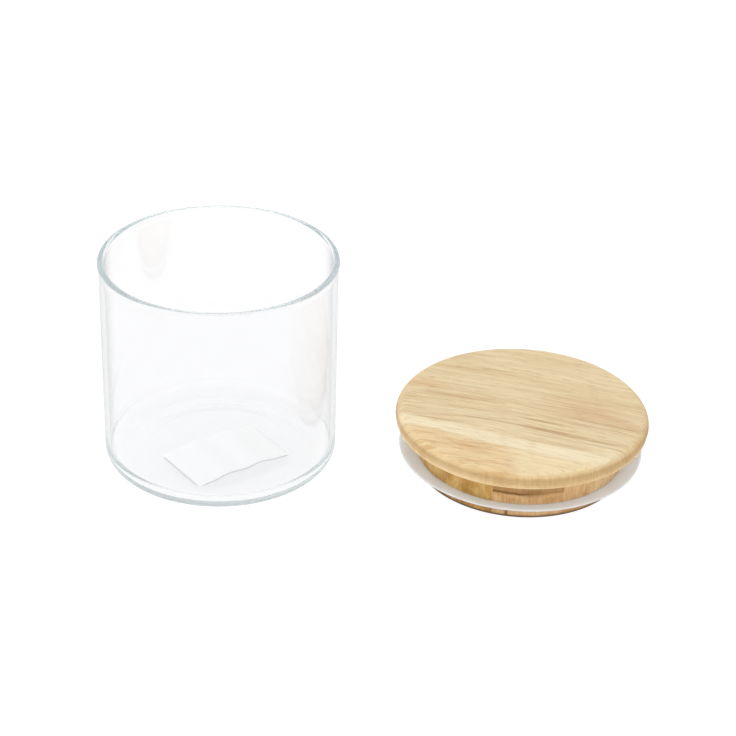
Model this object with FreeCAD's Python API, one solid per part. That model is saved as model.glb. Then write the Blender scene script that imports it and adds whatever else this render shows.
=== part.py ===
import FreeCAD, Part
import math
import os

# Glass storage jar standing open, with its turned wooden lid lying beside it on its plug.
# Millimetres, +Z up. Both rest on Z = 0, and the origin is the middle of the pair's footprint.

Vector = FreeCAD.Vector

# Glass jar
JAR_RADIUS = 42.5  # outside of the wall
JAR_HEIGHT = 80.0
WALL = 1.9
FLOOR = 2.4  # table to the inner floor
CORNER_OUTSIDE = 5.6
CORNER_INSIDE = 6.0
RIM_PROUD = 0.3  # how far the fire-polished bead stands out of the wall, outside
RIM_INWARD = 0.1  # and inside
RIM_DEPTH = 2.4  # height of the bead
RIM_NECK = 1.0  # height over which the wall swells into it
RIM_BLEND = 0.8
FOOT_WIDTH = 6.0  # flat ring that the jar stands on
PUNT_RISE = 0.8  # hollow of the underside
PUNT_SLOPE = 1.6
PUNT_BLEND = 0.7

# Slip of paper on the jar's floor
SLIP_LENGTH = 39.5
SLIP_WIDTH = 26.5
SLIP_THICKNESS = 0.2
SLIP_CORNER = 2.5
SLIP_ANGLE = 37.0  # long side from +X, degrees
SLIP_LIFT = 1.9  # height of the two low waves along it
SLIP_DIP = 0.6
SLIP_EDGE_GAP = 4.0  # nearest corner to the floor's rounded edge
SLIP_TOWARDS = -100.0  # where that corner points, seen from the jar's axis, degrees

# Wooden lid: a round-edged disc glued on a plug of staves
DISC_OVERHANG = 3.5  # past the jar's rim, all round
DISC_THICKNESS = 5.8
DISC_ROUNDOVER = 3.5
DISC_LOWER_EDGE = 0.8
DISC_DRAFT = 0.4  # the side leans in towards its lower edge
PLUG_CLEARANCE = 2.3  # plug to the jar's mouth, for the seal
PLUG_HEIGHT = 17.0
PLUG_EDGE = 0.6
STAVE_WIDTH = 25.4  # middle stave, the outer two are what is left of the plug
STAVE_OFFSET = 1.2  # its middle, to +X of the lid's axis

# Silicone seal: a foot in the plug's groove and a lip that rises outwards
GROOVE_DEPTH = 1.8
GROOVE_BOTTOM = 3.4
GROOVE_HEIGHT = 2.4
SEAL_CLEARANCE = 0.1  # foot to the bottom of the groove
LIP_SQUEEZE = 4.15  # lip past the jar's mouth, all round, before it bends
LIP_ROOT = 1.5  # thickness at the foot
LIP_TIP = 0.8
LIP_RISE = 2.0  # of its upper side, from root to tip

# Where the two stand
PAIR_GAP = 21.5  # rim to disc
JAR_BEHIND = 1.8  # jar's axis behind the lid's, along +Y

inside_radius = JAR_RADIUS - WALL
rim_radius = JAR_RADIUS + RIM_PROUD
mouth_radius = inside_radius - RIM_INWARD
floor_radius = inside_radius - CORNER_INSIDE
disc_radius = rim_radius + DISC_OVERHANG
plug_radius = mouth_radius - PLUG_CLEARANCE
groove_radius = plug_radius - GROOVE_DEPTH
groove_top = GROOVE_BOTTOM + GROOVE_HEIGHT
lip_radius = mouth_radius + LIP_SQUEEZE
pair_length = 2 * rim_radius + PAIR_GAP + 2 * disc_radius
jar_axis = Vector(rim_radius - pair_length / 2, JAR_BEHIND, 0)
lid_axis = Vector(pair_length / 2 - disc_radius, 0, 0)


def rounded_outline(corners):
    """Closed wire in the XZ plane through (x, z, fillet radius) corners."""
    points = [Vector(x, 0, z) for x, z, _ in corners]
    edges = []
    joints = []
    for i, (_, _, fillet) in enumerate(corners):
        corner = points[i]
        if fillet == 0:
            joints.append((corner, corner))
            continue
        back = (points[i - 1] - corner).normalize()
        on = (points[(i + 1) % len(points)] - corner).normalize()
        half_angle = back.getAngle(on) / 2
        reach = fillet / math.tan(half_angle)
        middle = (back + on).normalize()
        crest = corner + middle * (fillet / math.sin(half_angle) - fillet)
        start, end = corner + back * reach, corner + on * reach
        edges.append(Part.Arc(start, crest, end).toShape())
        joints.append((start, end))
    for i, (start, _) in enumerate(joints):
        previous_end = joints[i - 1][1]
        if previous_end.distanceToPoint(start) > 1e-6:
            edges.append(Part.LineSegment(previous_end, start).toShape())
    return Part.Wire(Part.__sortEdges__(edges))


def turned(corners, axis):
    """Solid of revolution of an outline of (radius, height, fillet) corners."""
    profile = Part.Face(rounded_outline(corners))
    solid = profile.revolve(Vector(0, 0, 0), Vector(0, 0, 1), 360)
    solid.translate(axis)
    return solid


def glass_jar():
    """One blown piece: hollowed underside, rounded foot, straight wall and a beaded rim."""
    foot_outer = JAR_RADIUS - CORNER_OUTSIDE
    foot_inner = foot_outer - FOOT_WIDTH
    bead_bottom = JAR_HEIGHT - RIM_DEPTH
    wall_top = bead_bottom - RIM_NECK
    bead_round = 0.48 * (rim_radius - mouth_radius)
    return turned(
        [
            (0, PUNT_RISE, 0),
            (foot_inner - PUNT_SLOPE, PUNT_RISE, PUNT_BLEND),
            (foot_inner, 0, PUNT_BLEND),
            (JAR_RADIUS, 0, CORNER_OUTSIDE),
            (JAR_RADIUS, wall_top, RIM_BLEND),
            (rim_radius, bead_bottom, RIM_BLEND),
            (rim_radius, JAR_HEIGHT, bead_round),
            (mouth_radius, JAR_HEIGHT, bead_round),
            (mouth_radius, bead_bottom, RIM_BLEND),
            (inside_radius, wall_top, RIM_BLEND),
            (inside_radius, FLOOR, CORNER_INSIDE),
            (0, FLOOR, 0),
        ],
        jar_axis,
    )


def slip_height(share):
    """Underside of the slip above the floor, at a share of its length: two low waves."""
    arch = SLIP_LIFT * (1 - (2 * share - 1) ** 4)
    dips = SLIP_DIP * (1 - math.cos(6 * math.pi * share)) / 2
    return arch - dips


def paper_slip():
    """Round-cornered slip of paper, bent along its length only, resting on its two ends."""
    steps = 12
    shares = [i / steps for i in range(steps + 1)]
    lower = [Vector(s * SLIP_LENGTH, 0, slip_height(s)) for s in shares]
    upper = [point + Vector(0, 0, SLIP_THICKNESS) for point in lower]
    sides = []
    for points in (lower, upper):
        curve = Part.BSplineCurve()
        curve.interpolate(points)
        sides.append(curve.toShape())
    ends = [Part.LineSegment(lower[i], upper[i]).toShape() for i in (0, -1)]
    section = Part.Face(Part.Wire(Part.__sortEdges__(sides + ends)))
    sheet = section.extrude(Vector(0, SLIP_WIDTH, 0))

    height = SLIP_LIFT + 2 * SLIP_THICKNESS
    blank = Part.makeBox(SLIP_LENGTH, SLIP_WIDTH, 2 * height, Vector(0, 0, -height / 2))
    upright = [edge for edge in blank.Edges if abs(edge.tangentAt(edge.FirstParameter).z) > 0.9]
    slip = sheet.common(blank.makeFillet(SLIP_CORNER, upright)).Solids[0]

    slip.rotate(Vector(0, 0, 0), Vector(0, 0, 1), SLIP_ANGLE)
    reach = floor_radius - SLIP_EDGE_GAP
    towards = math.radians(SLIP_TOWARDS)
    slip.translate(jar_axis + Vector(reach * math.cos(towards), reach * math.sin(towards), FLOOR))
    return slip


def lid_disc():
    """Top of the lid, with a soft round-over above and a small one below."""
    top = PLUG_HEIGHT + DISC_THICKNESS
    return turned(
        [
            (0, PLUG_HEIGHT, 0),
            (disc_radius - DISC_DRAFT, PLUG_HEIGHT, DISC_LOWER_EDGE),
            (disc_radius, top - DISC_ROUNDOVER, 0),
            (disc_radius, top, DISC_ROUNDOVER),
            (0, top, 0),
        ],
        lid_axis,
    )


def plug_staves():
    """The plug, turned with its seal groove, as the three staves it is glued up from."""
    plug = turned(
        [
            (0, 0, 0),
            (plug_radius, 0, PLUG_EDGE),
            (plug_radius, GROOVE_BOTTOM, 0),
            (groove_radius, GROOVE_BOTTOM, 0),
            (groove_radius, groove_top, 0),
            (plug_radius, groove_top, 0),
            (plug_radius, PLUG_HEIGHT, 0),
            (0, PLUG_HEIGHT, 0),
        ],
        lid_axis,
    )
    joint = STAVE_WIDTH / 2
    bounds = [-plug_radius - 1, STAVE_OFFSET - joint, STAVE_OFFSET + joint, plug_radius + 1]
    staves = []
    for left, right in zip(bounds, bounds[1:]):
        corner = lid_axis + Vector(left, -plug_radius - 1, -1)
        slab = Part.makeBox(right - left, 2 * plug_radius + 2, PLUG_HEIGHT + 2, corner)
        staves.append(plug.common(slab).Solids[0])
    return staves


def seal_ring():
    """Silicone ring: a flat-sided foot that fills the groove, and its upturned lip."""
    return turned(
        [
            (groove_radius + SEAL_CLEARANCE, GROOVE_BOTTOM, 0),
            (plug_radius, GROOVE_BOTTOM, 0),
            (plug_radius, groove_top - LIP_ROOT, 0.4),
            (lip_radius, groove_top + LIP_RISE - LIP_TIP, 0.45 * LIP_TIP),
            (lip_radius, groove_top + LIP_RISE, 0.45 * LIP_TIP),
            (plug_radius, groove_top, 0),
            (groove_radius + SEAL_CLEARANCE, groove_top, 0),
        ],
        lid_axis,
    )


pieces = {
    "glass_jar": glass_jar(),
    "paper_slip": paper_slip(),
    "lid_disc": lid_disc(),
    "seal_ring": seal_ring(),
}
for number, stave in enumerate(plug_staves(), start=1):
    pieces[f"plug_stave_{number}"] = stave

os.makedirs("parts", exist_ok=True)
for name, shape in pieces.items():
    shape.exportStep(f"parts/{name}.step")
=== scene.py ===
"""Looks of an open glass storage jar and its wooden lid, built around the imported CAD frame."""
import math

import bpy
import numpy as np
from mathutils import Matrix, Vector


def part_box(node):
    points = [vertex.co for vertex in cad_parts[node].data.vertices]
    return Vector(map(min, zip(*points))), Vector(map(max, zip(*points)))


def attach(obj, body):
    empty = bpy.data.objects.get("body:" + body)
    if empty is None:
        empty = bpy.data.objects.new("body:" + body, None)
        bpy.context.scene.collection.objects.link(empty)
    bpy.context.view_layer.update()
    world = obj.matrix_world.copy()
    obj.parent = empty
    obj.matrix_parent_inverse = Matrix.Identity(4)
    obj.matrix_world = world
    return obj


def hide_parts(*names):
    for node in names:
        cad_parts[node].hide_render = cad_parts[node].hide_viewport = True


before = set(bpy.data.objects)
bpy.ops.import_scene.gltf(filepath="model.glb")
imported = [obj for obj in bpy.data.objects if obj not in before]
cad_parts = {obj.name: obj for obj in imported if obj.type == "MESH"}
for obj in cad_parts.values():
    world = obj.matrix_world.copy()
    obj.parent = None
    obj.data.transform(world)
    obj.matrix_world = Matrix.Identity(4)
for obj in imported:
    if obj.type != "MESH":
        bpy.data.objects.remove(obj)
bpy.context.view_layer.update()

MM = 0.001

# ---- places and main sizes, from the frame ----------------------------------------------------

jar_low, jar_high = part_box("glass_jar")
JAR_AXIS = (jar_low + jar_high) / 2
RIM_RADIUS = (jar_high.x - jar_low.x) / 2
JAR_HEIGHT = jar_high.z

disc_low, disc_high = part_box("lid_disc")
LID_AXIS = (disc_low + disc_high) / 2
DISC_RADIUS = (disc_high.x - disc_low.x) / 2
PLUG_HEIGHT = disc_low.z
LID_TOP = disc_high.z

stave_boxes = [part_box(f"plug_stave_{number}") for number in (1, 2, 3)]
PLUG_RADIUS = stave_boxes[2][1].x - LID_AXIS.x
STAVE_JOINTS = (stave_boxes[1][0].x - LID_AXIS.x, stave_boxes[1][1].x - LID_AXIS.x)

seal_low, seal_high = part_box("seal_ring")
LIP_RADIUS = (seal_high.x - seal_low.x) / 2
GROOVE_BOTTOM = seal_low.z

JAR_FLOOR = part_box("paper_slip")[0].z  # the slip lies on it

# ---- sizes inside those pieces ----------------------------------------------------------------

WALL = 1.9 * MM
RIM_PROUD = 0.3 * MM
RIM_INWARD = 0.1 * MM
RIM_DEPTH = 2.4 * MM
RIM_NECK = 1.0 * MM
RIM_BLEND = 0.8 * MM
BEAD_ROUND = 0.48  # each upper round of the bead, as a share of its thickness
CORNER_OUTSIDE = 5.6 * MM
CORNER_INSIDE = 6.0 * MM
FOOT_WIDTH = 6.0 * MM
PUNT_RISE = 0.4 * MM
PUNT_SLOPE = 5.0 * MM
PUNT_BLEND = 10.0 * MM

DISC_ROUNDOVER = 3.5 * MM
DISC_LOWER_EDGE = 0.8 * MM
DISC_DRAFT = 0.4 * MM
PLUG_EDGE = 0.6 * MM
GROOVE_DEPTH = 1.8 * MM
GROOVE_HEIGHT = 2.4 * MM
SEAL_CLEARANCE = 0.1 * MM
LIP_ROOT = 1.5 * MM
LIP_TIP = 0.8 * MM
LIP_RISE = 2.0 * MM
LIP_TIP_ROUND = 0.45 * LIP_TIP
LIP_UNDER_BLEND = 0.4 * MM  # where its underside leaves the foot

SLIP_LENGTH = 39.5 * MM
SLIP_WIDTH = 26.5 * MM
SLIP_THICKNESS = 0.2 * MM
SLIP_CORNER = 2.5 * MM
SLIP_ANGLE = math.radians(37.0)
SLIP_LIFT = 1.9 * MM  # height of its arch
SLIP_DIP = 0.6 * MM
SLIP_DIPS = 3
SLIP_EDGE_GAP = 4.0 * MM
SLIP_TOWARDS = math.radians(-100.0)

# ---- what follows from them -------------------------------------------------------------------

WALL_OUTER = RIM_RADIUS - RIM_PROUD
WALL_INNER = WALL_OUTER - WALL
GROOVE_TOP = GROOVE_BOTTOM + GROOVE_HEIGHT
GROOVE_RADIUS = PLUG_RADIUS - GROOVE_DEPTH

slip_reach = WALL_INNER - CORNER_INSIDE - SLIP_EDGE_GAP
SLIP_PLACE = Vector((JAR_AXIS.x + slip_reach * math.cos(SLIP_TOWARDS),
                     JAR_AXIS.y + slip_reach * math.sin(SLIP_TOWARDS), JAR_FLOOR))

# ---- fineness of the meshes -------------------------------------------------------------------

ROUND_STEPS = 288  # segments round a turned piece
STAVE_STEPS = 72  # segments along each round side of a stave
OUTLINE_STEP = 2.5 * MM  # longest segment of a turned outline
SEAL_STEP = 0.8 * MM  # the same for the seal
SLIP_CELLS = (60, 40)  # along and across the slip
STAVE_SHARP = math.radians(40)  # edges past this angle stay sharp
SEAL_SHARP = math.radians(50)


# ---- mesh helpers -----------------------------------------------------------------------------

def new_piece(name, vertices, faces, replaced, material):
    """A mesh piece that stands for a CAD node and rides on the part's one body."""
    mesh = bpy.data.meshes.new(name)
    mesh.from_pydata([tuple(v) for v in vertices], [], faces)
    mesh.validate()
    mesh.polygons.foreach_set("use_smooth", [True] * len(mesh.polygons))
    piece = bpy.data.objects.new(name, mesh)
    bpy.context.scene.collection.objects.link(piece)
    mesh.materials.append(material)
    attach(piece, "root")
    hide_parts(replaced)
    return piece


def rounded_outline(corners, arc_steps=8, longest=None):
    """(radius, height) points through (radius, height, fillet) corners; open at both ends."""
    places = [np.array(corner[:2]) for corner in corners]
    points = [places[0]]
    for i in range(1, len(corners) - 1):
        corner, fillet = places[i], corners[i][2]
        if fillet == 0:
            points.append(corner)
            continue
        back = places[i - 1] - corner
        on = places[i + 1] - corner
        back /= np.linalg.norm(back)
        on /= np.linalg.norm(on)
        half = math.acos(np.clip(back @ on, -1, 1)) / 2
        centre = corner + (back + on) / np.linalg.norm(back + on) * fillet / math.sin(half)
        start = corner + back * fillet / math.tan(half) - centre
        end = corner + on * fillet / math.tan(half) - centre
        sweep = math.pi - 2 * half
        for step in range(arc_steps + 1):
            t = step / arc_steps
            blend = math.sin((1 - t) * sweep) * start + math.sin(t * sweep) * end
            points.append(centre + blend / math.sin(sweep))
    points.append(places[-1])
    if longest is None:
        return np.array(points)
    filled = [points[0]]
    for a, b in zip(points, points[1:]):
        parts = max(1, math.ceil(np.linalg.norm(b - a) / longest))
        filled += [a + (b - a) * k / parts for k in range(1, parts + 1)]
    return np.array(filled)


def lathe(outline, axis, closed=False):
    """Vertices and faces of an outline turned round a vertical axis.

    An open outline starts and ends on the axis.
    """
    angles = np.arange(ROUND_STEPS) * 2 * math.pi / ROUND_STEPS
    rings = outline if closed else outline[1:-1]
    vertices = [
        (axis.x + radius * math.cos(angle), axis.y + radius * math.sin(angle), height)
        for radius, height in rings
        for angle in angles
    ]
    faces = []
    count = len(rings)
    for i in range(count if closed else count - 1):
        a, b = i * ROUND_STEPS, (i + 1) % count * ROUND_STEPS
        for j in range(ROUND_STEPS):
            k = (j + 1) % ROUND_STEPS
            faces.append((a + j, a + k, b + k, b + j))
    if not closed:
        first, last = len(vertices), len(vertices) + 1
        vertices.append((axis.x, axis.y, outline[0][1]))
        vertices.append((axis.x, axis.y, outline[-1][1]))
        end = (count - 1) * ROUND_STEPS
        for j in range(ROUND_STEPS):
            k = (j + 1) % ROUND_STEPS
            faces.append((first, k, j))
            faces.append((last, end + j, end + k))
    return vertices, faces


# ---- material helpers -------------------------------------------------------------------------

class Tree:
    """Short forms for building a node tree."""

    def __init__(self, owner):
        owner.use_nodes = True
        self.tree = owner.node_tree
        self.tree.nodes.clear()

    def add(self, kind, inputs=None, **settings):
        node = self.tree.nodes.new("ShaderNode" + kind)
        for key, value in settings.items():
            setattr(node, key, value)
        for key, value in (inputs or {}).items():
            if isinstance(value, bpy.types.NodeSocket):
                self.tree.links.new(value, node.inputs[key])
            else:
                node.inputs[key].default_value = value
        return node

    def math(self, operation, a, b=0.0, c=0.0):
        return self.add("Math", {0: a, 1: b, 2: c}, operation=operation).outputs[0]

    def plus(self, a, b):
        return self.math("ADD", a, b)

    def minus(self, a, b):
        return self.math("SUBTRACT", a, b)

    def times(self, a, b):
        return self.math("MULTIPLY", a, b)

    def vector(self, operation, a, b=(0, 0, 0), output=0):
        return self.add("VectorMath", {0: a, 1: b}, operation=operation).outputs[output]

    def scaled(self, vector, scale):
        return self.vector("MULTIPLY", vector, scale)

    def split(self, vector):
        return self.add("SeparateXYZ", {0: vector}).outputs

    def join(self, x, y, z):
        return self.add("CombineXYZ", {0: x, 1: y, 2: z}).outputs[0]

    def noise(self, vector, scale=1.0, detail=2.0, roughness=0.5, distortion=0.0):
        inputs = {"Vector": vector, "Scale": scale, "Detail": detail, "Roughness": roughness,
                  "Distortion": distortion}
        return self.add("TexNoise", inputs).outputs["Fac"]

    def remap(self, value, low, high, to_low=0.0, to_high=1.0):
        """From to_low at low to to_high at high, with soft ends."""
        inputs = {0: value, 1: low, 2: high, 3: to_low, 4: to_high}
        return self.add("MapRange", inputs, interpolation_type="SMOOTHSTEP").outputs[0]

    def ramp(self, factor, stops):
        """Colours along a factor, from (place, colour) stops."""
        node = self.add("ValToRGB", {0: factor})
        elements = node.color_ramp.elements
        while len(elements) < len(stops):
            elements.new(0.5)
        for element, (place, colour) in zip(elements, stops):
            element.position = place
            element.color = (*colour, 1.0)
        return node.outputs[0]

    def mix(self, factor, a, b, blend="MIX"):
        inputs = {0: factor, 6: a if isinstance(a, bpy.types.NodeSocket) else (*a, 1.0),
                  7: b if isinstance(b, bpy.types.NodeSocket) else (*b, 1.0)}
        return self.add("Mix", inputs, data_type="RGBA", blend_type=blend).outputs[2]

    def bump(self, height, strength, distance):
        return self.add("Bump", {"Height": height, "Strength": strength, "Distance": distance}).outputs[0]

    def output(self, **inputs):
        self.add("OutputMaterial", inputs)


def srgb(red, green, blue):
    """Linear colour of an 8-bit sRGB one."""
    return tuple(
        c / 12.92 if c <= 0.04045 else ((c + 0.055) / 1.055) ** 2.4
        for c in (red / 255, green / 255, blue / 255)
    )


def new_material(name):
    """An empty node material and its tree."""
    material = bpy.data.materials.new(name)
    return material, Tree(material)


# ---- glass ------------------------------------------------------------------------------------

GLASS_IOR = 1.474  # borosilicate
GLASS_SEEN_FLAT = ((0.985, 0.985, 0.990), (0.970, 0.970, 0.977))  # clean, smudged
# painted shade: the glass's colour where it is seen edge-on, darker so that its edges look dimmed
GLASS_EDGE_PAINTED_SHADE = (0.36, 0.38, 0.39)
GLASS_BODY = (0.805, 0.855, 0.864, 1.0)
GLASS_BODY_DENSITY = 10.0
GLASS_SHADOW = (0.99, 0.994, 0.995, 1.0)


def glass_material():
    """Clear glass: faint blue-green in its thickness, slightly uneven from the fire polish.

    Lamps and the sky light what stands in and under the jar through a plain tint.
    """
    material, t = new_material("clear_glass")
    place = t.add("TexCoord").outputs["Object"]
    waves = t.noise(t.scaled(place, (60, 60, 25)), detail=1.0)
    smudge = t.noise(t.scaled(place, (90, 90, 140)), detail=4.0)
    soft_rim = t.remap(t.split(place)[2], JAR_HEIGHT - RIM_DEPTH, JAR_HEIGHT, 0.0, 0.05)
    # Painted shade: the colour darkens where the surface is seen edge-on.
    facing = t.add("LayerWeight", {"Blend": 0.5}).outputs["Facing"]
    skin = t.mix(smudge, *GLASS_SEEN_FLAT)
    glass = t.add("BsdfPrincipled", {
        "Base Color": t.mix(t.remap(facing, 0.6, 1.0), skin, GLASS_EDGE_PAINTED_SHADE),
        "Roughness": t.plus(t.remap(smudge, 0.55, 0.8, 0.0, 0.02), soft_rim),
        "IOR": GLASS_IOR,
        "Transmission Weight": 1.0,
        "Normal": t.bump(waves, strength=0.04, distance=1.0 * MM),
    })
    tint = t.add("BsdfTransparent", {"Color": GLASS_SHADOW})
    path = t.add("LightPath")
    lighting = t.math("MAXIMUM", path.outputs["Is Shadow Ray"], path.outputs["Is Diffuse Ray"])
    surface = t.add("MixShader", {0: lighting, 1: glass.outputs[0], 2: tint.outputs[0]})
    body = t.add("VolumeAbsorption", {"Color": GLASS_BODY, "Density": GLASS_BODY_DENSITY})
    t.output(Surface=surface.outputs[0], Volume=body.outputs[0])
    return material


# ---- wood: helpers ----------------------------------------------------------------------------

WOOD_IOR = 1.45


def lid_millimetres(t):
    """Place on the lid in millimetres from its axis, x, y and height, and the angle round it.

    The angle is 0 in front (-Y) and grows to the right (+X).
    """
    place = t.vector("SUBTRACT", t.add("TexCoord").outputs["Object"], (LID_AXIS.x, LID_AXIS.y, 0))
    x, y, z = t.split(t.scaled(place, (1000, 1000, 1000)))
    return x, y, z, t.math("ARCTAN2", x, t.times(y, -1.0))


def stretched(t, u, v, w, along, across, detail=3.0, roughness=0.55, offset=0.0):
    """Noise drawn out along the grain."""
    vector = t.join(t.math("MULTIPLY_ADD", u, along, offset), t.times(v, across), t.times(w, across))
    return t.noise(vector, detail=detail, roughness=roughness)


def near(t, value, centre, reach):
    """1 where the value is at the centre, falling smoothly to 0 at reach from it."""
    return t.remap(t.math("ABSOLUTE", t.minus(value, centre)), reach, 0.0)


def between(t, value, low, high, soft):
    """1 from low to high, with soft ends."""
    rise = t.remap(value, low - soft, low + soft)
    return t.times(rise, t.remap(value, high + soft, high - soft))


def spot(t, u, v, centre, size):
    """1 at a place on the (u, v) plane, falling smoothly to 0 at size from it."""
    du = t.math("DIVIDE", t.minus(u, centre[0]), size[0])
    dv = t.math("DIVIDE", t.minus(v, centre[1]), size[1])
    far = t.math("SQRT", t.plus(t.times(du, du), t.times(dv, dv)))
    return t.remap(far, 1.0, 0.0)


def tinted(t, colour, share, strength, towards):
    """The colour, taken towards another one by a share times a strength."""
    return t.mix(t.times(share, strength), colour, towards)


def wood_surface(t, colour, roughness, normal):
    """Ends a wood's tree with its surface."""
    wood = t.add("BsdfPrincipled", {"Base Color": colour, "Roughness": roughness, "IOR": WOOD_IOR,
                                    "Normal": normal})
    t.output(Surface=wood.outputs[0])


# ---- wood of the disc -------------------------------------------------------------------------

# The grain runs roughly along X. Places are (along, across) it in millimetres from the axis.
GRAIN_SLOPE = 0.296  # across for each millimetre along
GRAIN_BOW = 0.0011
GRAIN_SWAY = 5.0
RAGGED = 7.0  # how far the figure's borders stray

STREAK_ACROSS = -26.0  # the bright streak's middle, where it bows nearest
STREAK_BOW_AT = 10.0
STREAK_BOW = 0.002

# long thin lines: where across the grain, from and to along it, and how dark
THIN_LINES = [
    (-12.8, -22, 24, 0.55),
    (-13.6, 2, 34, 0.6),
    (-7.0, 0, 12, 0.45),
    (-17.3, -39, -22, 0.4),
    (-11.2, -19, -7, 0.45),
    (-4.0, 6, 40, 0.3),
    (-1.0, 14, 42, 0.3),
    (-16.5, 8, 40, 0.3),
    (24.8, -14, -3, 0.35),
    (-21.8, -3, 30, 0.3),
    (16.0, 14, 40, 0.25),
    (9.5, -38, -12, 0.25),
]
LINE_REACH = 0.75
LINE_FADE = 4
LINE_WANDER = 1.4


def across_grain(t, x, y):
    """Distance across the disc's bent and slightly swaying grain."""
    bend = t.math("MULTIPLY_ADD", t.times(x, x), GRAIN_BOW, t.times(x, GRAIN_SLOPE))
    v = t.plus(y, bend)
    sway = t.noise(t.join(t.times(x, 0.02), t.times(v, 0.07), 0.5), detail=2.0)
    return t.plus(v, t.times(t.minus(sway, 0.5), GRAIN_SWAY))


def disc_ground(t, x, v, z, streaks):
    """The disc's plain colour, in broad and narrow streaks."""
    broad = stretched(t, x, v, z, along=0.010, across=0.085, detail=2.0, offset=3.0)
    return t.ramp(t.plus(t.times(streaks, 0.6), t.times(broad, 0.4)), [
        (0.30, srgb(222, 194, 148)),
        (0.44, srgb(233, 210, 166)),
        (0.56, srgb(239, 219, 177)),
        (0.74, srgb(247, 229, 191)),
    ])


def disc_patches(t, colour, x, edge):
    """The rosy heart, the darker patches at the left and far side, and a short dark line."""
    heart = spot(t, x, edge, centre=(24, 5), size=(25, 15))
    colour = tinted(t, colour, heart, 0.8, srgb(222, 188, 144))
    left_patch = spot(t, x, edge, centre=(-36, 7), size=(15, 8))
    colour = tinted(t, colour, left_patch, 0.7, srgb(229, 193, 143))
    left_line = t.times(near(t, edge, 0.5, 2.2), between(t, x, -38, -8, 5))
    colour = tinted(t, colour, left_line, 0.5, srgb(205, 170, 122))
    far_patch = spot(t, x, edge, centre=(12, 38), size=(30, 9))
    return tinted(t, colour, far_patch, 0.35, srgb(218, 192, 140))


def disc_front(t, colour, x, v, ragged, fibres):
    """The bright streak, and in front of it the golden wood and the knot."""
    dip = t.minus(x, STREAK_BOW_AT)
    middle = t.times(t.times(dip, dip), STREAK_BOW)
    from_streak = t.minus(t.plus(v, -STREAK_ACROSS), middle)
    reach = t.remap(x, 5.0, 40.0, 5.0, 9.0)
    streak = t.remap(t.math("DIVIDE", t.math("ABSOLUTE", from_streak), reach), 1.0, 0.35)
    colour = tinted(t, colour, streak, 0.85, srgb(255, 241, 205))

    front = t.remap(t.plus(from_streak, ragged), -3.0, -6.0)
    knot_side = t.remap(t.plus(x, ragged), -2.0, -9.0)
    gold = t.times(front, t.minus(1.0, knot_side))
    colour = tinted(t, colour, gold, 0.65, srgb(255, 236, 189))
    knot = t.times(front, knot_side)
    colour = tinted(t, colour, knot, 0.75, srgb(247, 219, 168))
    whorl = t.noise(t.join(t.times(x, 0.06), t.times(v, 0.42), 4.0),
                    detail=3.0, roughness=0.6, distortion=0.5)
    whorl = t.times(knot, t.remap(whorl, 0.48, 0.66))
    colour = tinted(t, colour, whorl, 0.6, srgb(214, 168, 110))
    burl = t.times(spot(t, x, v, centre=(-19, -33), size=(14, 6)), t.remap(fibres, 0.35, 0.6))
    return tinted(t, colour, burl, 0.55, srgb(208, 154, 96))


def thin_lines(t, x, v, z):
    """How dark the disc's long thin lines are, broken up along their length."""
    wander = t.noise(t.join(t.times(x, 0.05), 1.5, 2.5), detail=2.0)
    thin = t.plus(v, t.times(t.minus(wander, 0.5), LINE_WANDER))
    drawn = 0.0
    for across, first, last, depth in THIN_LINES:
        line = t.times(near(t, thin, across, LINE_REACH), between(t, x, first, last, LINE_FADE))
        drawn = t.math("MAXIMUM", drawn, t.times(line, depth))
    broken = stretched(t, x, v, z, along=0.10, across=0.9, detail=2.0, offset=1.0)
    return t.times(drawn, t.remap(broken, 0.30, 0.55, 0.35, 1.0))


def disc_grain(t, colour, x, v, z, fibres):
    """Soft grain, thin lines, pores and fine fibres, and the height that they give the surface."""
    grain = stretched(t, x, v, z, along=0.060, across=0.95, detail=3.0, roughness=0.6, offset=21.0)
    strong = t.remap(t.math("ABSOLUTE", t.plus(v, 8.0)), 26.0, 6.0, 0.35, 1.0)
    dark_grain = t.times(t.remap(grain, 0.50, 0.70), strong)
    colour = t.mix(t.times(dark_grain, 0.34), colour, srgb(208, 168, 116), "MULTIPLY")
    pale_grain = t.times(t.remap(grain, 0.46, 0.30), strong)
    colour = tinted(t, colour, pale_grain, 0.36, srgb(255, 243, 212))
    drawn = thin_lines(t, x, v, z)
    pores = t.remap(stretched(t, x, v, z, along=0.20, across=2.2, detail=3.0, offset=11.0), 0.57, 0.68)
    colour = t.mix(t.math("MAXIMUM", drawn, t.times(pores, 0.36)), colour, srgb(165, 118, 66))
    fine = t.remap(fibres, 0.35, 0.68)
    colour = t.mix(t.times(fine, 0.26), colour, srgb(206, 172, 128), "MULTIPLY")
    return colour, t.minus(t.times(fine, -0.25), t.plus(pores, drawn))


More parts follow.
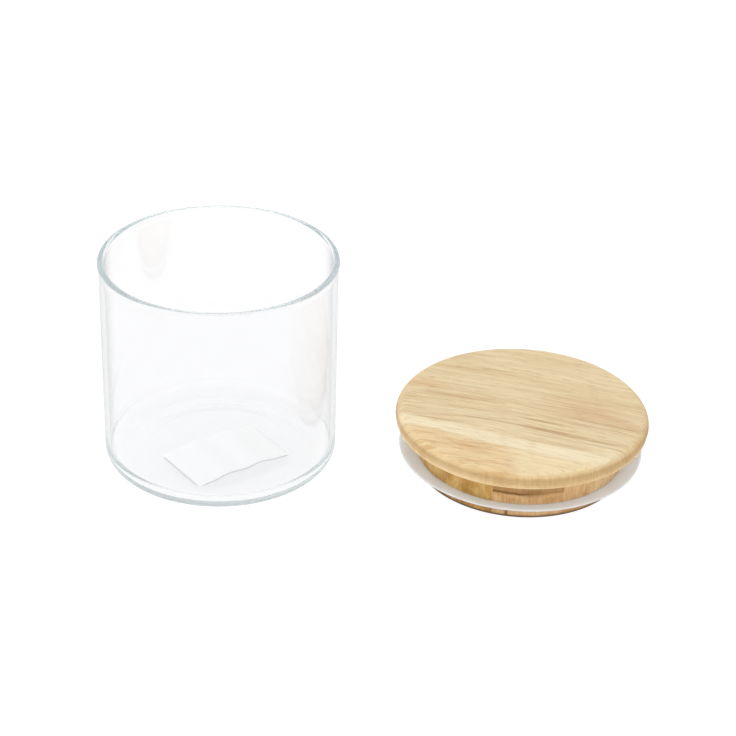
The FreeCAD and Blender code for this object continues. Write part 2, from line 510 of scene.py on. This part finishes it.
def disc_side(t, colour, x, y, z, angle):
    """The turned edge: upright tool marks, painted shade along the upper round-over and a painted
    highlight on the lower edge.
    """
    disc_edge, disc_top = DISC_RADIUS / MM, LID_TOP / MM
    out = t.math("SQRT", t.plus(t.times(x, x), t.times(y, y)))
    turn = t.times(angle, disc_edge)
    marks = t.noise(t.join(t.times(turn, 1.1), t.times(z, 0.16), 0.0), detail=3.0, roughness=0.65)
    blotch = t.noise(t.join(t.times(turn, 0.14), t.times(z, 0.2), 3.0), detail=2.0)
    side = t.ramp(blotch, [
        (0.35, srgb(212, 174, 118)),
        (0.50, srgb(222, 188, 132)),
        (0.65, srgb(231, 200, 148)),
    ])
    marked = t.times(t.remap(marks, 0.42, 0.66), t.remap(angle, -0.42, -0.34, 0.05, 0.5))
    side = t.mix(marked, side, srgb(196, 156, 100))
    side_share = t.times(t.remap(out, disc_edge - 2.2, disc_edge - 0.4),
                         t.remap(angle, -0.5, -0.3, 0.4, 0.85))
    colour = t.mix(side_share, colour, side)
    # Painted shade: a dark brown line along the upper round-over, where it turns away from the light.
    outline = t.times(t.remap(out, disc_edge - 0.9, disc_edge - 0.2),
                      t.remap(z, disc_top - 4.3, disc_top - 2.3, 0.0, 0.5))
    colour = t.mix(outline, colour, srgb(168, 128, 78))
    # Painted highlight: a bright line along the disc's lower edge.
    lower_edge_highlight = near(t, z, PLUG_HEIGHT / MM + 0.4, 0.7)
    return tinted(t, colour, lower_edge_highlight, 0.5, srgb(240, 218, 172))


def disc_wood():
    """Pale hardwood cut across its figure: a bright streak, a rosy heart, short dark pores."""
    material, t = new_material("disc_wood")
    x, y, z, angle = lid_millimetres(t)
    v = across_grain(t, x, y)
    streaks = stretched(t, x, v, z, along=0.018, across=0.50, detail=4.0, roughness=0.6, offset=7.0)
    fibres = stretched(t, x, v, z, along=0.06, across=2.4, detail=5.0, roughness=0.72)
    ragged = t.times(t.minus(streaks, 0.5), RAGGED)
    colour = disc_ground(t, x, v, z, streaks)
    colour = disc_patches(t, colour, x, t.plus(v, ragged))
    colour = disc_front(t, colour, x, v, ragged, fibres)
    colour, height = disc_grain(t, colour, x, v, z, fibres)
    colour = disc_side(t, colour, x, y, z, angle)
    wood_surface(t, colour, roughness=t.remap(streaks, 0.3, 0.7, 0.62, 0.5),
                 normal=t.bump(height, strength=0.35, distance=0.08 * MM))
    return material


# ---- wood of the staves -----------------------------------------------------------------------

LOWER_EDGE_DARKENING = (1.7, 0.5)  # from where to where the lower edge darkens, in millimetres
DARK_LINE = 9.85  # height of the brown stave's dark line, in millimetres


def stave_cloud(t, x, y, z, across, upright, distortion):
    """Soft patches in a stave's colour."""
    place = t.join(t.times(x, across), t.times(y, across), t.times(z, upright))
    return t.noise(place, detail=3.0, distortion=distortion)


def finish_stave(t, colour, z, angle):
    """What the staves share: fine upright fibres and pores, a darker lower edge, and painted shade with
    some dirt under the seal.
    """
    groove = GROOVE_BOTTOM / MM
    turn = t.times(angle, PLUG_RADIUS / MM)
    fibres = t.noise(t.join(t.times(turn, 1.3), t.times(z, 0.22), 0.0), detail=4.0, roughness=0.65)
    fine = t.remap(fibres, 0.42, 0.66)
    colour = t.mix(t.times(fine, 0.35), colour, srgb(186, 144, 96), "MULTIPLY")
    # Darker towards the lower edge, where the plug stands on the floor.
    colour = tinted(t, colour, t.remap(z, *LOWER_EDGE_DARKENING), 0.9, srgb(84, 62, 34))
    # Painted shade: the band below the groove, under the seal's lip, is darkened.
    below = t.remap(z, groove + 0.2, groove - 0.2)
    colour = t.mix(t.times(below, 0.4), colour, srgb(196, 168, 122), "MULTIPLY")
    # A dark line in the crease just under the seal: partly dirt, partly painted shade.
    crease_dirt_and_shade = near(t, z, groove - 0.2, 0.6)
    colour = tinted(t, colour, crease_dirt_and_shade, 0.6, srgb(110, 82, 42))
    wood_surface(t, colour, roughness=t.remap(fibres, 0.3, 0.7, 0.68, 0.55),
                 normal=t.bump(fine, strength=-0.3, distance=0.1 * MM))


def golden_stave():
    """The left stave: golden, with dark streaks in its lower part."""
    material, t = new_material("stave_golden")
    x, y, z, angle = lid_millimetres(t)
    colour = t.ramp(stave_cloud(t, x, y, z, across=0.14, upright=0.16, distortion=0.4), [
        (0.36, srgb(184, 138, 68)),
        (0.50, srgb(205, 164, 92)),
        (0.64, srgb(217, 182, 118)),
    ])
    streak = t.noise(t.join(t.times(angle, 9.0), t.times(z, 0.05), 1.0), detail=2.0)
    low = t.times(t.remap(streak, 0.54, 0.66), t.remap(z, 5.0, 3.0, 0.15, 0.6))
    colour = t.mix(low, colour, srgb(146, 106, 50))
    finish_stave(t, colour, z, angle)
    return material


def brown_stave():
    """The middle stave: a dark line round its top with painted shade above it, a smoky cloud and a fleck
    low down.
    """
    material, t = new_material("stave_brown")
    x, y, z, angle = lid_millimetres(t)
    cloud = stave_cloud(t, x, y, z, across=0.10, upright=0.22, distortion=0.3)
    colour = t.ramp(cloud, [
        (0.36, srgb(208, 166, 110)),
        (0.50, srgb(222, 184, 131)),
        (0.64, srgb(232, 198, 148)),
    ])
    faces_front = t.remap(y, 10.0, -10.0, 0.3, 1.0)
    level = t.plus(z, t.times(t.minus(cloud, 0.5), 2.0))
    # Painted shade: darker above the dark line, up under the disc, mostly on the front.
    above = t.times(t.remap(level, DARK_LINE - 0.45, DARK_LINE + 0.15), faces_front)
    colour = tinted(t, colour, above, 0.6, srgb(160, 116, 64))
    line = t.times(near(t, level, DARK_LINE, 0.8), t.remap(x, 5.0, -2.0, 0.15, 0.9))
    colour = t.mix(t.times(line, faces_front), colour, srgb(112, 72, 28))
    smoky = t.times(spot(t, x, z, centre=(2.0, 10.2), size=(8.0, 2.6)), 0.6)
    colour = t.mix(t.times(smoky, faces_front), colour, srgb(138, 94, 48))
    fleck = t.times(near(t, x, -6.4, 1.0), t.remap(z, 4.6, 3.6))
    colour = tinted(t, colour, fleck, 0.85, srgb(110, 76, 36))
    finish_stave(t, colour, z, angle)
    return material


def tan_stave():
    """The right stave: even tan, redder low down."""
    material, t = new_material("stave_tan")
    x, y, z, angle = lid_millimetres(t)
    colour = t.ramp(stave_cloud(t, x, y, z, across=0.12, upright=0.10, distortion=0.3), [
        (0.36, srgb(212, 172, 118)),
        (0.50, srgb(227, 191, 140)),
        (0.64, srgb(238, 206, 158)),
    ])
    colour = tinted(t, colour, t.remap(z, 5.0, 3.4), 0.5, srgb(190, 134, 70))
    finish_stave(t, colour, z, angle)
    return material


# ---- silicone and paper -----------------------------------------------------------------------

SILICONE_IOR = 1.41
SHADED_EDGE_REACH = (0.9 * MM, 0.1 * MM)  # from where to where the paper turns grey with painted shade at its two near edges


def silicone_material():
    """Milky translucent silicone with a soft sheen."""
    material, t = new_material("silicone")
    place = t.add("TexCoord").outputs["Object"]
    cloud = t.noise(t.scaled(place, (160, 160, 160)), detail=3.0)
    dust = t.noise(t.scaled(place, (2600, 2600, 2600)), detail=2.0)
    rubber = t.add("BsdfPrincipled", {
        "Base Color": t.mix(cloud, srgb(238, 246, 255), srgb(244, 250, 255)),
        "Roughness": t.remap(dust, 0.3, 0.7, 0.34, 0.5),
        "IOR": SILICONE_IOR,
        "Subsurface Weight": 1.0,
        "Subsurface Radius": (1.0, 1.0, 1.0),
        "Subsurface Scale": 4.0 * MM,
        "Transmission Weight": 0.22,
        "Normal": t.bump(dust, strength=0.12, distance=0.1 * MM),
    })
    t.output(Surface=rubber.outputs[0])
    return material


def paper_material():
    """Smooth white paper with a faint fibre, and painted shade along its two near edges."""
    material, t = new_material("white_paper")
    place = t.add("TexCoord").outputs["Object"]
    fibre = t.noise(t.scaled(place, (900, 1500, 900)), detail=4.0, distortion=1.0)
    cloud = t.noise(t.scaled(place, (120, 120, 120)), detail=2.0)
    colour = t.mix(cloud, srgb(246, 246, 250), srgb(249, 249, 252))
    # its own length and width, from the near corner
    from_corner = t.vector("SUBTRACT", place, SLIP_PLACE)
    cosine, sine = math.cos(SLIP_ANGLE), math.sin(SLIP_ANGLE)
    along = t.vector("DOT_PRODUCT", from_corner, (cosine, sine, 0), output="Value")
    across = t.vector("DOT_PRODUCT", from_corner, (-sine, cosine, 0), output="Value")
    # Painted shade: the two near edges turn grey; the far edges stay white.
    cut = t.remap(t.math("MINIMUM", along, across), *SHADED_EDGE_REACH)
    colour = tinted(t, colour, cut, 0.85, srgb(192, 193, 199))
    paper = t.add("BsdfPrincipled", {
        "Base Color": tinted(t, colour, fibre, 0.08, srgb(225, 225, 225)),
        "Roughness": t.remap(fibre, 0.3, 0.7, 0.7, 0.55),
        "Subsurface Weight": 1.0,
        "Subsurface Radius": (1.0, 1.0, 1.0),
        "Subsurface Scale": 0.3 * MM,
        "Normal": t.bump(fibre, strength=0.1, distance=0.05 * MM),
    })
    t.output(Surface=paper.outputs[0])
    return material


# ---- pieces -----------------------------------------------------------------------------------

def unmirrored(piece):
    """Keeps a piece of the lid out of direct mirror images, so the jar's wall stays clear."""
    piece.visible_glossy = False


def make_jar():
    """The jar: hollowed underside, rounded foot, straight wall, beaded rim, as one skin."""
    mouth = WALL_INNER - RIM_INWARD
    foot_inner = WALL_OUTER - CORNER_OUTSIDE - FOOT_WIDTH
    bead_bottom = JAR_HEIGHT - RIM_DEPTH
    wall_top = bead_bottom - RIM_NECK
    bead_round = BEAD_ROUND * (RIM_RADIUS - mouth)
    outline = rounded_outline([
        (0, PUNT_RISE, 0),
        (foot_inner - PUNT_SLOPE, PUNT_RISE, PUNT_BLEND),
        (foot_inner, 0, PUNT_BLEND),
        (WALL_OUTER, 0, CORNER_OUTSIDE),
        (WALL_OUTER, wall_top, RIM_BLEND),
        (RIM_RADIUS, bead_bottom, RIM_BLEND),
        (RIM_RADIUS, JAR_HEIGHT, bead_round),
        (mouth, JAR_HEIGHT, bead_round),
        (mouth, bead_bottom, RIM_BLEND),
        (WALL_INNER, wall_top, RIM_BLEND),
        (WALL_INNER, JAR_FLOOR, CORNER_INSIDE),
        (0, JAR_FLOOR, 0),
    ], arc_steps=12, longest=OUTLINE_STEP)
    vertices, faces = lathe(outline, JAR_AXIS)
    new_piece("jar", vertices, faces, "glass_jar", glass_material())


def slip_height(share):
    """Height of the slip's lower side above the floor, at a share of its length."""
    arch = SLIP_LIFT * (1 - (2 * share - 1) ** 4)
    return arch - SLIP_DIP * (1 - math.cos(2 * SLIP_DIPS * math.pi * share)) / 2


def slip_inset(x):
    """How far the round corners draw the slip's long edges in, at a place along it."""
    into_corner = max(0.0, SLIP_CORNER - min(x, SLIP_LENGTH - x))
    return SLIP_CORNER - math.sqrt(max(0.0, SLIP_CORNER ** 2 - into_corner ** 2))


def make_slip():
    """The round-cornered slip of paper, lying in low waves on the jar's floor."""
    along, across = SLIP_CELLS
    turn = Matrix.Rotation(SLIP_ANGLE, 3, "Z")
    vertices = []
    for raised in (0, SLIP_THICKNESS):
        for i in range(along + 1):
            share = i / along
            x = share * SLIP_LENGTH
            inset = slip_inset(x)
            for j in range(across + 1):
                y = inset + (SLIP_WIDTH - 2 * inset) * j / across
                vertices.append(SLIP_PLACE + turn @ Vector((x, y, slip_height(share) + raised)))
    row = across + 1
    layer = (along + 1) * row
    faces = []
    for i in range(along):
        for j in range(across):
            a = i * row + j
            faces.append((a, a + 1, a + row + 1, a + row))
            faces.append((layer + a, layer + a + row, layer + a + row + 1, layer + a + 1))
    border = [i * row for i in range(along + 1)]
    border += [along * row + j for j in range(1, across + 1)]
    border += [i * row + across for i in range(along - 1, -1, -1)]
    border += list(range(across - 1, 0, -1))
    for a, b in zip(border, border[1:] + border[:1]):
        faces.append((a, b, layer + b, layer + a))
    new_piece("slip", vertices, faces, "paper_slip", paper_material())


def make_disc():
    """The lid's disc: a large round-over above, a nearly upright side, a small round below."""
    outline = rounded_outline([
        (0, PLUG_HEIGHT, 0),
        (DISC_RADIUS - DISC_DRAFT, PLUG_HEIGHT, DISC_LOWER_EDGE),
        (DISC_RADIUS, LID_TOP - DISC_ROUNDOVER, 0),
        (DISC_RADIUS, LID_TOP, DISC_ROUNDOVER),
        (0, LID_TOP, 0),
    ], arc_steps=10, longest=OUTLINE_STEP)
    vertices, faces = lathe(outline, LID_AXIS)
    unmirrored(new_piece("disc", vertices, faces, "lid_disc", disc_wood()))


def stave_section(radius, left, right):
    """Outline of one stave at a radius, anticlockwise from its front left corner."""
    left, right = max(left, -radius), min(right, radius)
    start = -math.pi + math.acos(max(-1, min(1, -left / radius)))
    sweep = -math.acos(right / radius) - start
    front = [start + sweep * k / STAVE_STEPS for k in range(STAVE_STEPS + 1)]
    points = [(radius * math.cos(angle), radius * math.sin(angle)) for angle in front]
    return points + [(x, -y) for x, y in reversed(points)]


def make_stave(number, left, right, material):
    """One stave of the plug, with its share of the groove and of the rounded lower edge."""
    levels = rounded_outline([
        (PLUG_RADIUS - PLUG_EDGE * 2, 0, 0),
        (PLUG_RADIUS, 0, PLUG_EDGE),
        (PLUG_RADIUS, GROOVE_BOTTOM, 0),
        (GROOVE_RADIUS, GROOVE_BOTTOM, 0),
        (GROOVE_RADIUS, GROOVE_TOP, 0),
        (PLUG_RADIUS, GROOVE_TOP, 0),
        (PLUG_RADIUS, PLUG_HEIGHT, 0),
    ], arc_steps=5)
    vertices = [
        (LID_AXIS.x + x, LID_AXIS.y + y, height)
        for radius, height in levels
        for x, y in stave_section(radius, left, right)
    ]
    size = len(vertices) // len(levels)
    faces = [tuple(range(size - 1, -1, -1))]
    for i in range(len(levels) - 1):
        a, b = i * size, (i + 1) * size
        for j in range(size):
            k = (j + 1) % size
            faces.append((a + j, a + k, b + k, b + j))
    faces.append(tuple(range(len(vertices) - size, len(vertices))))
    piece = new_piece(f"stave_{number}", vertices, faces, f"plug_stave_{number}", material)
    piece.data.set_sharp_from_angle(angle=STAVE_SHARP)
    unmirrored(piece)


def make_staves():
    """The plug's three staves, side by side between the joints."""
    edges = [-2 * PLUG_RADIUS, *STAVE_JOINTS, 2 * PLUG_RADIUS]
    finishes = [
        ("stave_wood_golden", golden_stave()),
        ("stave_wood_brown", brown_stave()),
        ("stave_wood_tan", tan_stave()),
    ]
    for number, (slot, material) in enumerate(finishes, start=1):
        make_stave(number, edges[number - 1], edges[number], material)


def make_seal():
    """The silicone ring: a foot in the groove and a soft lip that flares out and up."""
    foot_radius = GROOVE_RADIUS + SEAL_CLEARANCE
    foot_middle = (GROOVE_BOTTOM + GROOVE_TOP) / 2
    tip_low = GROOVE_TOP + LIP_RISE - LIP_TIP
    outline = rounded_outline([
        (foot_radius, foot_middle, 0),
        (foot_radius, GROOVE_BOTTOM, 0),
        (PLUG_RADIUS, GROOVE_BOTTOM, 0),
        (PLUG_RADIUS, GROOVE_TOP - LIP_ROOT, LIP_UNDER_BLEND),
        (LIP_RADIUS, tip_low, LIP_TIP_ROUND),
        (LIP_RADIUS, tip_low + LIP_TIP, LIP_TIP_ROUND),
        (PLUG_RADIUS, GROOVE_TOP, 0),
        (foot_radius, GROOVE_TOP, 0),
        (foot_radius, foot_middle, 0),
    ], arc_steps=5, longest=SEAL_STEP)
    vertices, faces = lathe(outline[:-1], LID_AXIS, closed=True)
    piece = new_piece("seal", vertices, faces, "seal_ring", silicone_material())
    piece.data.set_sharp_from_angle(angle=SEAL_SHARP)
    unmirrored(piece)


# ---- floor, light and camera ------------------------------------------------------------------

FLOOR_DROP = 0.05 * MM  # keeps the floor's plane off the faces that stand on it
FLOOR_HALF = 4.0
FLOOR_SHADE = 0.37
FLOOR_GLOW = 0.51  # its own light, on what stands on it
FLOOR_GLOW_SEEN = 0.30  # more of it towards the camera
FLOOR_GLOW_THROUGH = 0.150  # and through or in the glass

SKY_LOW, SKY_HIGH = 1.15, 0.76  # at the horizon and overhead
SKY_FRONT = 0.70  # more light from low in front
SKY_LEFT, SKY_RIGHT = 1.06, 0.88  # shares at either side

LAMP_PLACE = (-0.12, 0.75, 0.92)
LAMP_TARGET = (0, 0, 0.03)
LAMP_SIZE = (0.40, 0.35)
LAMP_POWER = 1.8

CAMERA_PLACE = Vector((-3.3, -669.1, 424.0)) * MM
CAMERA_PITCH = 0.5237  # radians below the horizon
CAMERA_ROLL = 0.0291
CAMERA_LENS = 104.4  # millimetres, as Blender gives a lens and a sensor
CAMERA_SENSOR = 36.0
CAMERA_CLIP = 0.05

GLASS_BOUNCES = 256  # light runs a long way inside the jar's wall


def shiny_ray(t, path):
    """1 for what is seen in or through something glossy."""
    return t.math("MAXIMUM", path.outputs["Is Glossy Ray"], path.outputs["Is Transmission Ray"])


def floor_material():
    """Even white, partly lit from within, so that it shows as white as the backdrop."""
    material, t = new_material("floor_white")
    white = t.add("BsdfDiffuse", {"Color": (FLOOR_SHADE, FLOOR_SHADE, FLOOR_SHADE, 1.0)})
    path = t.add("LightPath")
    seen = t.plus(t.times(path.outputs["Is Camera Ray"], FLOOR_GLOW_SEEN),
                  t.times(shiny_ray(t, path), FLOOR_GLOW_THROUGH))
    glow = t.add("Emission", {"Color": (1, 1, 1, 1), "Strength": t.plus(seen, FLOOR_GLOW)})
    both = t.add("AddShader", {0: white.outputs[0], 1: glow.outputs[0]})
    t.output(Surface=both.outputs[0])
    return material


def make_floor():
    """A plain pale floor, far wider than the view."""
    mesh = bpy.data.meshes.new("floor")
    corners = [(-FLOOR_HALF, -FLOOR_HALF), (FLOOR_HALF, -FLOOR_HALF), (FLOOR_HALF, FLOOR_HALF),
               (-FLOOR_HALF, FLOOR_HALF)]
    mesh.from_pydata([(x, y, -FLOOR_DROP) for x, y in corners], [], [(0, 1, 2, 3)])
    mesh.materials.append(floor_material())
    floor = bpy.data.objects.new("floor", mesh)
    bpy.context.scene.collection.objects.link(floor)


def make_world():
    """Plain soft light from all round; the backdrop shows white, to the camera and in the glass."""
    world = bpy.data.worlds.new("studio")
    bpy.context.scene.world = world
    t = Tree(world)
    x, y, z = t.split(t.add("TexCoord").outputs["Generated"])
    low_in_front = t.times(t.remap(y, 0.1, -0.7), t.remap(z, 0.7, 0.1))
    sky = t.math("MULTIPLY_ADD", low_in_front, SKY_FRONT, t.remap(z, 0.0, 0.9, SKY_LOW, SKY_HIGH))
    sky = t.times(sky, t.remap(x, -0.8, 0.8, SKY_LEFT, SKY_RIGHT))
    path = t.add("LightPath")
    backdrop = t.times(shiny_ray(t, path), t.remap(z, 0.30, 0.12))
    white = t.math("MAXIMUM", path.outputs["Is Camera Ray"], backdrop)
    strength = t.add("Mix", {0: white, 2: sky, 3: 1.0}).outputs[0]
    background = t.add("Background", {"Color": (1, 1, 1, 1), "Strength": strength})
    t.add("OutputWorld", {"Surface": background.outputs[0]})


def make_lamp():
    """A soft lamp behind and above that lights the object and its gloss but isn't seen through glass."""
    lamp = bpy.data.lights.new("back", "AREA")
    lamp.shape = "RECTANGLE"
    lamp.size, lamp.size_y = LAMP_SIZE
    lamp.energy = LAMP_POWER
    holder = bpy.data.objects.new("back", lamp)
    holder.location = LAMP_PLACE
    holder.visible_transmission = False
    aim = Vector(LAMP_TARGET) - Vector(LAMP_PLACE)
    holder.rotation_euler = aim.to_track_quat("-Z", "Y").to_euler()
    bpy.context.scene.collection.objects.link(holder)


def make_camera():
    """A long lens in front and above, looking level along +Y but for its pitch and slight roll."""
    camera = bpy.data.cameras.new("camera")
    camera.lens = CAMERA_LENS
    camera.sensor_width = CAMERA_SENSOR
    camera.clip_start = CAMERA_CLIP
    holder = bpy.data.objects.new("camera", camera)
    ahead = Vector((0, math.cos(CAMERA_PITCH), -math.sin(CAMERA_PITCH)))
    up = Vector((0, math.sin(CAMERA_PITCH), math.cos(CAMERA_PITCH)))
    right = Vector((1, 0, 0))
    rolled_right = math.cos(CAMERA_ROLL) * right + math.sin(CAMERA_ROLL) * up
    rolled_up = math.cos(CAMERA_ROLL) * up - math.sin(CAMERA_ROLL) * right
    turn = Matrix((rolled_right, rolled_up, -ahead)).transposed()
    holder.matrix_world = Matrix.Translation(CAMERA_PLACE) @ turn.to_4x4()
    bpy.context.scene.collection.objects.link(holder)
    bpy.context.scene.camera = holder


def set_light_paths():
    """Plain colours, and light paths long enough for clear glass."""
    scene = bpy.context.scene
    scene.view_settings.view_transform = "Standard"
    scene.cycles.max_bounces = GLASS_BOUNCES
    scene.cycles.transmission_bounces = GLASS_BOUNCES
    scene.cycles.glossy_bounces = GLASS_BOUNCES
    scene.cycles.blur_glossy = 0.0


# ---- the scene --------------------------------------------------------------------------------

make_jar()
make_slip()
make_disc()
make_seal()
make_staves()
make_floor()
make_world()
make_lamp()
make_camera()
set_light_paths()
